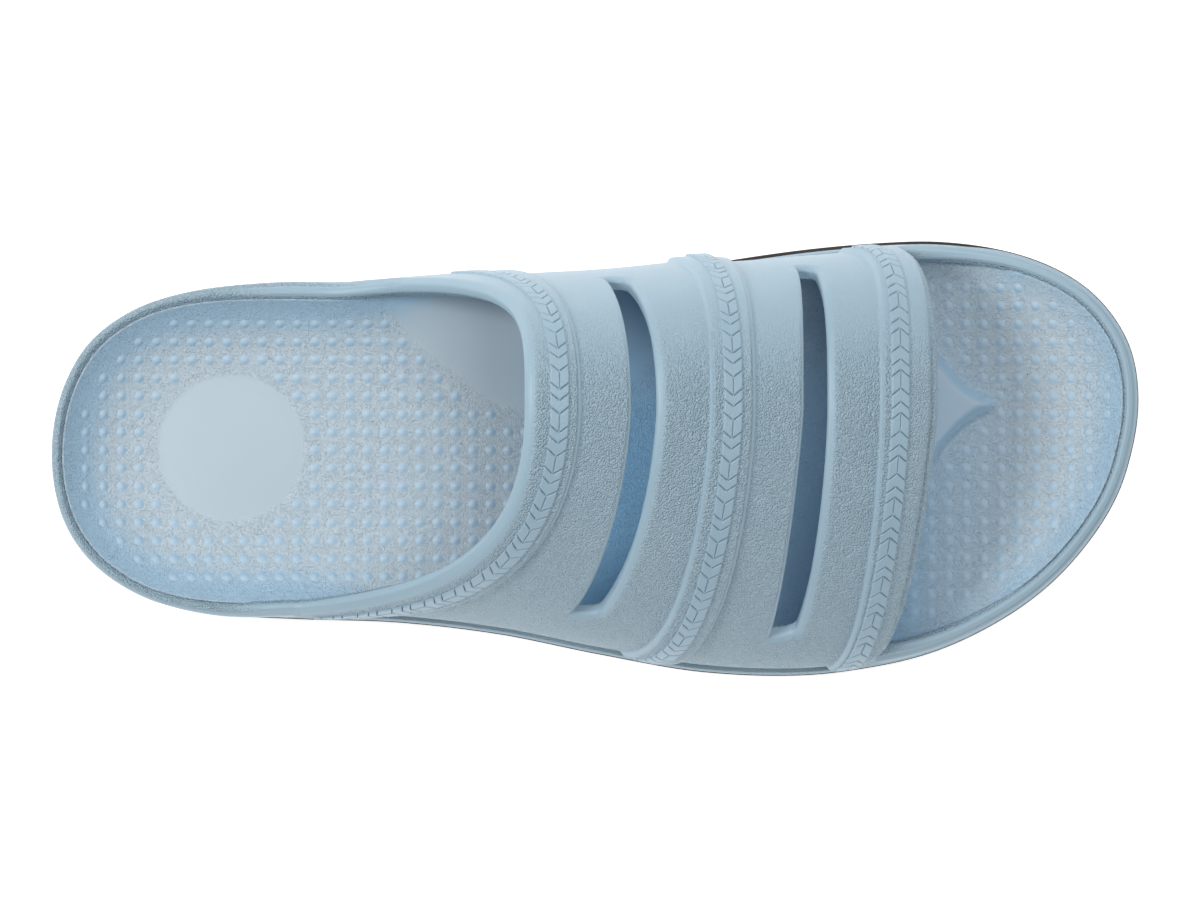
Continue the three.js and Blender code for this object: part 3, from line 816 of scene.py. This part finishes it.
def band_line(band):
    """Points, directions and normals along the rows of a band, with the length run so far."""
    first, last = band_edges[band]
    crown = lerp(edge_table["crown"][first], edge_table["crown"][last], row_places[band])
    low = wall_shares[2:]
    stops = np.linspace(0, 1, 400)
    wall = np.concatenate([low, np.ones(400), np.ones(399), low[::-1]])
    stop = np.concatenate([low * 0, stops, stops[-2::-1], low * 0])
    medial = np.arange(len(wall)) >= len(low) + 400
    row = {"wall": wall, "stop": stop, "medial": medial}
    line = upper_point(np.full(len(wall), crown), row, "outer")
    ahead = upper_point(np.full(len(wall), crown + 0.002), row, "outer")
    run = np.concatenate([[0], np.cumsum(np.linalg.norm(np.diff(line, axis=0), axis=1))])
    places = np.arange(0, run[-1], block_step / 2)
    line, ahead = along_line(places, run, line), along_line(places, run, ahead)
    for _ in range(6):
        line[1:-1] = (line[:-2] + 2 * line[1:-1] + line[2:]) / 4
    tangent = unit(np.gradient(line, axis=0))
    normal = unit(np.cross(ahead - line, tangent))
    for k in range(3):
        padded = np.pad(normal[:, k], 7, mode="edge")
        normal[:, k] = np.convolve(padded, np.ones(15) / 15, mode="valid")
    return places, line, tangent, unit(normal)


def chevron_rows(length):
    """Places of the rows of points, close together at the grooves between blocks."""
    ends = np.cumsum(np.tile(block_lengths, int(length / sum(block_lengths)) + 1))
    near = groove_half_width * np.array([-1, -0.75, -0.4, 0, 0.4, 0.75, 1])
    grooves = (ends[:, None] + near).reshape(-1)
    even = np.arange(0, length, block_step)
    clear = np.abs(even[:, None] - ends).min(axis=1) > groove_half_width
    return np.sort(np.concatenate([grooves, even[clear]]))


def herringbone_height(place, across):
    """Height of the blocks over the band: grooves between them and one along each long block."""
    side = np.abs(across) / chevron_half_width
    ends = np.concatenate([[0], np.cumsum(block_lengths)])
    in_repeat = np.mod(place, ends[-1])
    from_end = np.abs(in_repeat[:, None] - ends).min(axis=1)
    between = (1 - ease(from_end / groove_half_width))[:, None] * ease(side / 0.12)
    in_long = (in_repeat < block_lengths[0]) * ease(from_end / (2 * groove_half_width))
    centre = 0.85 * in_long[:, None] * (1 - ease(np.abs(across) / centre_groove_half_width))
    border = ease((1.02 - side) / 0.1)
    return (chevron_height + chevron_sink) * (1 - np.maximum(between, centre)) * border - chevron_sink


def herringbone_mesh(band):
    run, line, tangent, normal = band_line(band)
    half = np.array([0, 0.04, 0.08, 0.12, 0.3, 0.55, 0.8, 0.92, 0.97, 1.02, 1.08])
    across = chevron_half_width * np.concatenate([-half[:0:-1], half])
    rows_at = chevron_rows(run[-1] + chevron_point)
    height = herringbone_height(rows_at, across[None, :])
    behind = chevron_point * np.abs(across) / chevron_half_width
    place = rows_at[:, None] - behind[None, :]
    if band != "toe":
        place = run[-1] - place
    place = np.clip(place, 0, run[-1])
    fade = ease(np.minimum(place, run[-1] - place) / chevron_end_fade)
    height = lerp(-chevron_sink, height, fade)
    up = unit(along_line(place, run, normal))
    beside = unit(np.cross(along_line(place, run, tangent), up))
    points = along_line(place, run, line) + beside * across[None, :, None] + up * height[..., None]
    skin = Skin()
    skin.patch(points if band == "toe" else points[::-1], mask=0.9)
    return skin.mesh(band + "_herringbone", closed=False)


# Footbed

heel_disc_middle = (x_of(0.1645), 0.025 * ball_width)
arch_along = 0.4015
arch_reach = 0.19
ridge_back = 0.7008
ridge_tip = 0.8724
ridge_length = 0.115
ridge_side = 0.125
ridge_flank = 0.042

# How near the footbed's edge comes to the rim's top, and how late it climbs
footbed_edge_rise = 0.92
basin_fullness = 2.6
sweep_sharpness = 5.5


def heel_disc(x, y):
    away = np.hypot(x - heel_disc_middle[0], y - heel_disc_middle[1]) / heel_disc_radius
    return heel_disc_rise * clamp01(1 - away**2)


def arch_support(x, y):
    lengthwise = ease(1 - np.abs(along_of(x) - arch_along) / arch_reach)
    return arch_rise * lengthwise * ease((y / ball_width - 0.1) / 0.24)


def toe_ridge_share(x, y):
    along = along_of(x)
    side = np.abs(y / ball_width - ridge_side)
    gap = clamp01((ridge_tip - along) / ridge_length)
    half_width = 0.012 + 0.42 * gap**2.1
    back = ease((along - ridge_back) / 0.06)
    return back * ease((half_width - side) / ridge_flank + 0.4) * ease(gap * 8)


def edge_sweep(x, y, rise):
    """How far the footbed's edge climbs over its crease to meet the rim."""
    climb = layer_height("rim", x) - edge_below_rim - layer_height("crease", x)
    return rim_sweep(x, y) * climb * rise**sweep_sharpness


def footbed_height(x, y, rise):
    seat, crease = layer_height("seat", x), layer_height("crease", x)
    forms = heel_disc(x, y) + arch_support(x, y) + toe_ridge_rise * toe_ridge_share(x, y)
    return seat + (crease - seat) * rise**basin_fullness + (1 - rise**4) * forms + edge_sweep(x, y, rise)


arch_edge = smooth_curve(
    np.array([-0.0576, -0.0498, -0.0422, -0.0346, -0.0295, -0.0194, -0.0046, 0.0124, 0.0244]),
    np.array([0.050, 0.0353, 0.0264, 0.0213, 0.0163, 0.013, 0.015, 0.024, 0.050]),
)


def plain_share(x, y):
    """1 where the footbed is left plain: the heel disc, the arch and the toe ridge."""
    away = np.hypot(x - heel_disc_middle[0], y - heel_disc_middle[1])
    disc = ease((heel_disc_radius - away) / 0.0015 + 0.5)
    in_arch = (x > -0.0556) & (x < 0.0244)
    arch = np.where(in_arch, ease((y - arch_edge(x)) / 0.0025 + 0.5), 0)
    ridge = ease((toe_ridge_share(x, y) - 0.35) * 6)
    return np.maximum(np.maximum(disc, arch), ridge)


def footbed_mesh():
    skin = Skin()
    turns = sole_turns
    edge_x = outline_point(turns)[:, 0]
    medial = turns > math.pi
    rim = inset_point(turns, wall_inset("inner", edge_x, medial, footbed_edge_rise) - bond_depth)
    rises = np.concatenate([np.linspace(1, 0.8, 16), np.linspace(0.8, 0.04, 50)[1:]])
    rise = rises[:, None]
    spine_x = rim[:, 0] * 0.7
    x = lerp(spine_x, rim[:, 0], rise)
    y = lerp(middle_at(spine_x), rim[:, 1], rise)
    rings = xyz(x, y, footbed_height(x, y, rise))
    bottom = rings[0].copy()
    bottom[:, 2] = foot_height(bottom[:, 0])
    rings = np.concatenate([bottom[None], rings])
    masks = plain_share(rings[..., 0], rings[..., 1])
    closed = np.concatenate([rings, rings[:, :1]], axis=1)
    skin.patch(closed[::-1], mask=np.concatenate([masks, masks[:, :1]], axis=1)[::-1])
    cap(skin, rings[-1], True)
    cap(skin, bottom, False)
    return skin.mesh("footbed_surface")


nub_pitch = (0.00446, 0.00457)
nub_start = (-0.1293, 0.0341)
nub_columns = 62
nub_radius = 0.0017
nub_height = 0.00045
toe_nub_radius = 0.0012
nub_edge_clear = 0.0032
nub_sink = 0.00003
nub_plain = 0.9
toe_nub_start = 0.9
toe_nub_fade = 0.05

# Shares of the length between which there are no nubs, under the straps
nub_free = (0.5, 0.745)


def nub_places(tree):
    """Places of the nubs on the footbed, with the surface's height and normal."""
    found = []
    edge_turns = np.linspace(0, 2 * math.pi, 721)[:-1]
    edge_x = outline_point(edge_turns)[:, 0]
    edge_inset = wall_inset("inner", edge_x, edge_turns > math.pi, footbed_edge_rise)
    edge = inset_point(edge_turns, edge_inset)
    for i in range(nub_columns):
        x = nub_start[0] + i * nub_pitch[0]
        if nub_free[0] < along_of(x) < nub_free[1]:
            continue
        for j in range(-5, 22):
            y = nub_start[1] - j * nub_pitch[1]
            from_edge = np.hypot(edge[:, 0] - x, edge[:, 1] - y).min()
            inside = side_at(x, False) < y < side_at(x, True)
            if not inside or from_edge < nub_edge_clear:
                continue
            steps = (-nub_radius, 0, nub_radius)
            around = [(x + dx, y + dy) for dx in steps for dy in steps]
            if max(plain_share(np.array(px), np.array(py)) for px, py in around) > 0.3:
                continue
            hit, normal, _, _ = tree.ray_cast(Vector((x, y, 0.2)), Vector((0, 0, -1)))
            if hit:
                found.append((np.array(hit), np.array(normal)))
    return found


def nubs_mesh(footbed):
    work = bmesh.new()
    work.from_mesh(footbed)
    tree = BVHTree.FromBMesh(work)
    work.free()
    skin = Skin()
    radii = np.array([0.0, 0.25, 0.45, 0.62, 0.8, 1.0])
    angles = np.linspace(0, 2 * math.pi, 14)
    for place, normal in nub_places(tree):
        flat = ease((along_of(place[0]) - toe_nub_start) / toe_nub_fade)
        bell = np.cos(radii * math.pi / 2) ** 2
        disc = 0.5 * ease((1 - radii) / 0.4)
        height = nub_height * lerp(bell, disc, flat) - nub_sink
        sideways = unit(np.cross(normal, (0, 1, 0)))
        forward = np.cross(normal, sideways)
        spread = np.cos(angles)[:, None] * sideways + np.sin(angles)[:, None] * forward
        reach = radii[:, None, None] * lerp(nub_radius, toe_nub_radius, flat) * spread[None]
        skin.patch(place + reach + normal * height[:, None, None], mask=nub_plain)
    # Each nub gets at least a quarter of the painted shade, a darker blue on the nubs
    return add_painted_shade(skin.mesh("footbed_nubs", closed=False), least=0.25)


# Where the painted shade under the straps starts and ends, as shares of the length: a blue colour that
# stands for shadow and light bounced inside the foam
painted_shade_start = 0.41
painted_shade_start_fade = 0.085
painted_shade_end = 0.82
painted_shade_end_fade = 0.05
painted_shade_toe_end = 0.94
painted_shade_toe_fade = 0.13
painted_shade_front = 0.6
painted_shade_front_fade = 0.06
painted_shade_medial_reach = 0.04


def add_painted_shade(mesh, inner=False, least=0.0):
    """Marks foam for painted shade, a darker blue that stands for shadow and light bounced between the
    foam: under the straps, on the upper's inner faces, and where the footbed is steep.
    """
    count = len(mesh.vertices)
    places, normals = np.empty(3 * count, np.float32), np.empty(3 * count, np.float32)
    mesh.vertices.foreach_get("co", places)
    mesh.vertices.foreach_get("normal", normals)
    along = along_of(places[::3])
    ends = ease((painted_shade_end - along) / painted_shade_end_fade) + ease((painted_shade_toe_end - along) / painted_shade_toe_fade)
    painted_shade = ease((along - painted_shade_start) / painted_shade_start_fade) * ends / 2
    medial = 1 - 0.5 * ease(places[1::3] / painted_shade_medial_reach)
    painted_shade *= medial * (1 - 0.3 * ease((along - painted_shade_front) / painted_shade_front_fade))
    if inner:
        outward = normals[1::3] * np.sign(places[1::3])
        painted_shade = painted_shade * ease(-2 * normals[2::3]) * ease(1 - 2 * outward)
    else:
        # Steep parts of the footbed, such as the heel cup's walls, get painted shade as well
        painted_shade = np.maximum(painted_shade, 0.5 * ease((0.98 - normals[2::3]) / 0.2))
    painted_shade = np.maximum(painted_shade, least)
    mesh.attributes.new("painted_shade", "FLOAT", "POINT").data.foreach_set("value", painted_shade.astype(np.float32))
    return mesh


# Sole

sole_turns = np.linspace(0, 2 * math.pi, 481)[:-1]


def midsole_inset(share):
    """Inset of the foam side wall, from its foot to its top edge."""
    def inset(x, turns):
        along = along_of(x)
        medial_show = ease((along - 0.585) / 0.04) * ease((0.88 - along) / 0.06) * (turns > math.pi)
        base = 0.0003 + 0.0006 * medial_show
        foot = 0.0004 * clamp01(1 - share / 0.3) ** 2
        top = 0.0007 * clamp01((share - 0.8) / 0.2) ** 2
        return base + foot + top
    return inset


def midsole_mesh():
    skin = Skin()
    rings = []
    for share in (0, 0.04, 0.1, 0.2, 0.3, 0.45, 0.6, 0.75, 0.82, 0.88, 0.93, 0.97, 1):
        def height(x):
            bottom = ground_height(x) + outsole_thickness - bond_depth
            return lerp(bottom, layer_height("parting", x), share)
        rings.append(sole_ring(sole_turns, midsole_inset(share), height))
    cap(skin, rings[0], False)
    skin.patch(np.stack([ring(points) for points in rings])[::-1])
    cap(skin, rings[-1], True)
    return skin.mesh("midsole_body")


def groove_depth(x, y):
    """How deep the tread is cut, with sloped groove walls."""
    depth = np.zeros_like(x)
    share = clamp01(np.abs(y) / (0.6 * ball_width))
    for start, end, count, bow in zip(*groove_table.values()):
        for middle in np.linspace(start, end, int(count)):
            centre = x_of(middle + bow * (1 - share**2))
            away = np.abs(x - centre)
            cut = ease((groove_width / 2 + 0.0003 - away) / 0.0006)
            depth = np.maximum(depth, cut)
    return depth * tread_depth


outsole_bevel = 0.0016


def outsole_mesh():
    skin = Skin()
    turns = np.arccos(np.linspace(1, -1, 501))
    turns = np.unique(np.concatenate([turns, np.linspace(0, math.pi, 121)]))
    around = np.concatenate([turns, (2 * math.pi - turns)[-2:0:-1]])
    levels = [(outsole_bevel, 0.0), (outsole_bevel / 2, 0.0005)]
    levels += [(0.0003, 0.0016), (0.0001, 0.0032), (0, 0.005)]
    rings = []
    for inset, lift in levels:
        def flat_inset(x, turns):
            return np.full_like(x, inset)

        def height(x):
            return ground_height(x) + lift
        rings.append(sole_ring(around, flat_inset, height))
    for points, (_, lift) in zip(rings[:3], levels):
        points[:, 2] += np.maximum(groove_depth(points[:, 0], points[:, 1]) - lift, 0)
    lateral, medial = halves(rings[0])
    shares = np.linspace(0, 1, 29)[:, None, None]
    floor = lerp(lateral[None], medial[None], shares)
    x, y = floor[..., 0], floor[..., 1]
    floor[1:-1, :, 2] = (ground_height(x) + groove_depth(x, y))[1:-1]
    skin.patch(floor)
    skin.patch(np.stack([ring(points) for points in rings])[::-1])
    cap(skin, rings[-1], True)
    return skin.mesh("outsole_tread")


# Materials


class Wire:
    """A socket of a shader. Arithmetic on wires adds Math nodes."""

    def __init__(self, tree, socket=None):
        self.tree = tree
        self.socket = socket

    def node(self, kind, settings=(), inputs=(), output=0):
        """Adds a node, sets it up, then feeds its sockets with values or wires."""
        made = self.tree.nodes.new(kind)
        for name, value in dict(settings).items():
            setattr(made, name, value)
        for name, value in dict(inputs).items():
            if isinstance(value, Wire):
                self.tree.links.new(value.socket, made.inputs[name])
            else:
                made.inputs[name].default_value = value
        return None if output is None else Wire(self.tree, made.outputs[output])

    def math(self, operation, *values):
        return self.node("ShaderNodeMath", {"operation": operation}, dict(enumerate(values)))

    def __add__(self, other):
        return self.math("ADD", self, other)

    def __sub__(self, other):
        return self.math("SUBTRACT", self, other)

    def __rsub__(self, other):
        return self.math("SUBTRACT", other, self)

    def __mul__(self, other):
        return self.math("MULTIPLY", self, other)

    __radd__ = __add__
    __rmul__ = __mul__

    def mixed(self, a, b):
        """Colour a where this wire is 0 and colour b where it is 1."""
        settings = {"data_type": "RGBA"}
        return self.node("ShaderNodeMix", settings, {0: self, 6: a, 7: b}, 2)


def new_shader(name):
    material = bpy.data.materials.new(name)
    material.use_nodes = True
    material.node_tree.nodes.clear()
    return material, Wire(material.node_tree)


def finish_shader(wire, surface):
    shader = wire.node("ShaderNodeBsdfPrincipled", {}, surface)
    wire.node("ShaderNodeOutputMaterial", {}, {"Surface": shader}, None)


def place_in(wire):
    return wire.node("ShaderNodeTexCoord", output=3)


def noise(wire, place, scale, detail=2.0, roughness=0.5, distortion=0.0):
    inputs = {"Vector": place, "Scale": scale, "Detail": detail}
    inputs.update({"Roughness": roughness, "Distortion": distortion})
    return wire.node("ShaderNodeTexNoise", {}, inputs)


def pebble_grain(wire, place):
    """Leather-like grain: small raised cells with fine wrinkles between them."""
    cells = wire.node("ShaderNodeTexVoronoi", {"feature": "SMOOTH_F1"},
                      {"Vector": place, "Scale": 2000.0, "Smoothness": 0.15})
    return noise(wire, place, 3000.0, 1.0, 0.5, 0.3) * 0.35 + (1 - cells) * 1.2


def worm_grain(wire, place):
    """The footbed's finer grain of short curling ridges."""
    curls = noise(wire, place, 1350.0, 0.5, 0.5, 1.4)
    return 1 - wire.math("ABSOLUTE", curls - 0.5) * 4.0


def foam(name, colour, shade, grain, grain_depth, grain_shade, roughness):
    """Moulded foam. The mesh's "plain" attribute fades the grain out. Random clouds mix the colour with
    the shade colour, and the grain's hollows are mixed towards the shade colour as painted shade.
    """
    material, wire = new_shader(name)
    place = place_in(wire)
    plain = wire.node("ShaderNodeAttribute", {"attribute_name": "plain"}, output=2)
    grained = 1 - plain
    height = grain(wire, place) * grained
    clouds = noise(wire, place, 45.0, 3.0)
    # Random clouds give tone; the grain's height paints its hollows darker, which is painted shade
    tone_and_grain_shade = clouds * 0.5 + (height - 0.5) * grain_shade + 0.17
    # A second attribute mixes in the painted shade colour, a darker blue for shadow and bounced light
    painted_shade = wire.node("ShaderNodeAttribute", {"attribute_name": "painted_shade"}, output=2)
    base = painted_shade.mixed(tone_and_grain_shade.mixed((*shade, 1), (*colour, 1)), (*painted_shade_blue, 1))
    bump = wire.node("ShaderNodeBump", {}, {"Strength": 1.0, "Distance": grain_depth, "Height": height})
    finish_shader(wire, {
        "Base Color": base,
        "Roughness": grained * 0.1 + roughness,
        "Normal": bump,
        "Specular IOR Level": 0.5,
    })
    return material


def rubber(name):
    """Dark blown rubber with a fine matt texture."""
    material, wire = new_shader(name)
    place = place_in(wire)
    speckle = noise(wire, place, 900.0, 3.0)
    clouds = noise(wire, place, 60.0, 3.0)
    base = clouds.mixed((0.040, 0.034, 0.030, 1), (0.085, 0.074, 0.066, 1))
    bump = wire.node("ShaderNodeBump", {}, {"Strength": 0.6, "Distance": 0.00012, "Height": speckle})
    finish_shader(wire, {"Base Color": base, "Roughness": speckle * 0.15 + 0.68, "Normal": bump,
                         "Specular IOR Level": 0.35})
    return material


# Painted shade: the darker blue mixed into the foam under the straps and on steep faces, standing for
# shadow and light bounced inside the foam
painted_shade_blue = (0.26, 0.51, 0.74)
upper_foam = foam(
    "upper_foam", colour=(0.39, 0.525, 0.61), shade=(0.30, 0.43, 0.52),
    grain=pebble_grain, grain_depth=0.0005, grain_shade=0.35, roughness=0.42,
)
footbed_foam = foam(
    "footbed_foam", colour=(0.54, 0.63, 0.69), shade=(0.46, 0.56, 0.63),
    grain=worm_grain, grain_depth=0.00014, grain_shade=0.8, roughness=0.45,
)
midsole_foam = foam(
    "midsole_foam", colour=(0.40, 0.53, 0.61), shade=(0.31, 0.45, 0.54),
    grain=pebble_grain, grain_depth=0.0002, grain_shade=0.35, roughness=0.45,
)

add_piece("upper_shell", add_painted_shade(upper_mesh(), inner=True), upper_foam, "upper_foam", "upper")
for band in band_edges:
    add_piece(band + "_herringbone", herringbone_mesh(band), upper_foam, "upper_foam")
footbed = add_piece("footbed_surface", add_painted_shade(footbed_mesh()), footbed_foam, "footbed_foam", "footbed")
add_piece("footbed_nubs", nubs_mesh(footbed.data), footbed_foam, "footbed_foam")
add_piece("midsole_body", midsole_mesh(), midsole_foam, "midsole_foam", "midsole")
add_piece("outsole_tread", outsole_mesh(), rubber("outsole_rubber"), "outsole_rubber", "outsole")


# Camera, floor and light

photo_width = 1200
metres_per_pixel = 0.000254
picture_height = 0.022
camera_height = 6.0
view_middle = (0.00097, 0.0022)


def add_camera():
    lens = bpy.data.cameras.new("camera")
    lens.sensor_width = 36.0
    lens.lens = lens.sensor_width * (camera_height - picture_height) / (photo_width * metres_per_pixel)
    lens.clip_start, lens.clip_end = 0.05, 20.0
    camera = bpy.data.objects.new("camera", lens)
    camera.location = (*view_middle, camera_height)
    bpy.context.scene.collection.objects.link(camera)
    bpy.context.scene.camera = camera


def add_floor():
    mesh = bpy.data.meshes.new("floor")
    size = 3.0
    corners = [(-size, -size, 0), (size, -size, 0), (size, size, 0), (-size, size, 0)]
    mesh.from_pydata(corners, [], [(0, 1, 2, 3)])
    material, wire = new_shader("floor_paper")
    fibres = noise(wire, place_in(wire), 300.0, 2.0)
    finish_shader(wire, {"Base Color": fibres.mixed((0.86, 0.86, 0.86, 1), (0.9, 0.9, 0.9, 1)),
                         "Roughness": 0.9, "Specular IOR Level": 0.1,
                         "Emission Color": (1, 1, 1, 1), "Emission Strength": 0.7})
    mesh.materials.append(material)
    floor = bpy.data.objects.new("floor", mesh)
    bpy.context.scene.collection.objects.link(floor)


def add_light(name, position, aim, size, power, colour):
    lamp = bpy.data.lights.new(name, "AREA")
    lamp.shape = "DISK"
    lamp.size = size
    lamp.energy = power
    lamp.color = colour
    light = bpy.data.objects.new(name, lamp)
    light.location = position
    light.rotation_euler = (Vector(aim) - Vector(position)).to_track_quat("-Z", "Y").to_euler()
    bpy.context.scene.collection.objects.link(light)


def add_world():
    world = bpy.data.worlds.new("studio")
    world.use_nodes = True
    background = world.node_tree.nodes["Background"]
    background.inputs["Color"].default_value = (0.95, 0.97, 1.0, 1)
    background.inputs["Strength"].default_value = 0.37
    bpy.context.scene.world = world
    bpy.context.scene.view_settings.view_transform = "Standard"


add_camera()
add_floor()
light_aim = (0, 0, 0.03)
add_light("key", (-1.02, 0.25, 1.42), light_aim, size=0.6, power=13.0, colour=(1.0, 0.99, 0.97))
add_light("medial_fill", (0.1, 1.2, 1.3), light_aim, size=0.9, power=5.0, colour=(0.97, 0.99, 1.0))
add_light("overhead", (0.5, 0.1, 2.0), light_aim, size=1.0, power=9.5, colour=(1.0, 1.0, 1.0))
add_world()

bpy.context.view_layer.update()
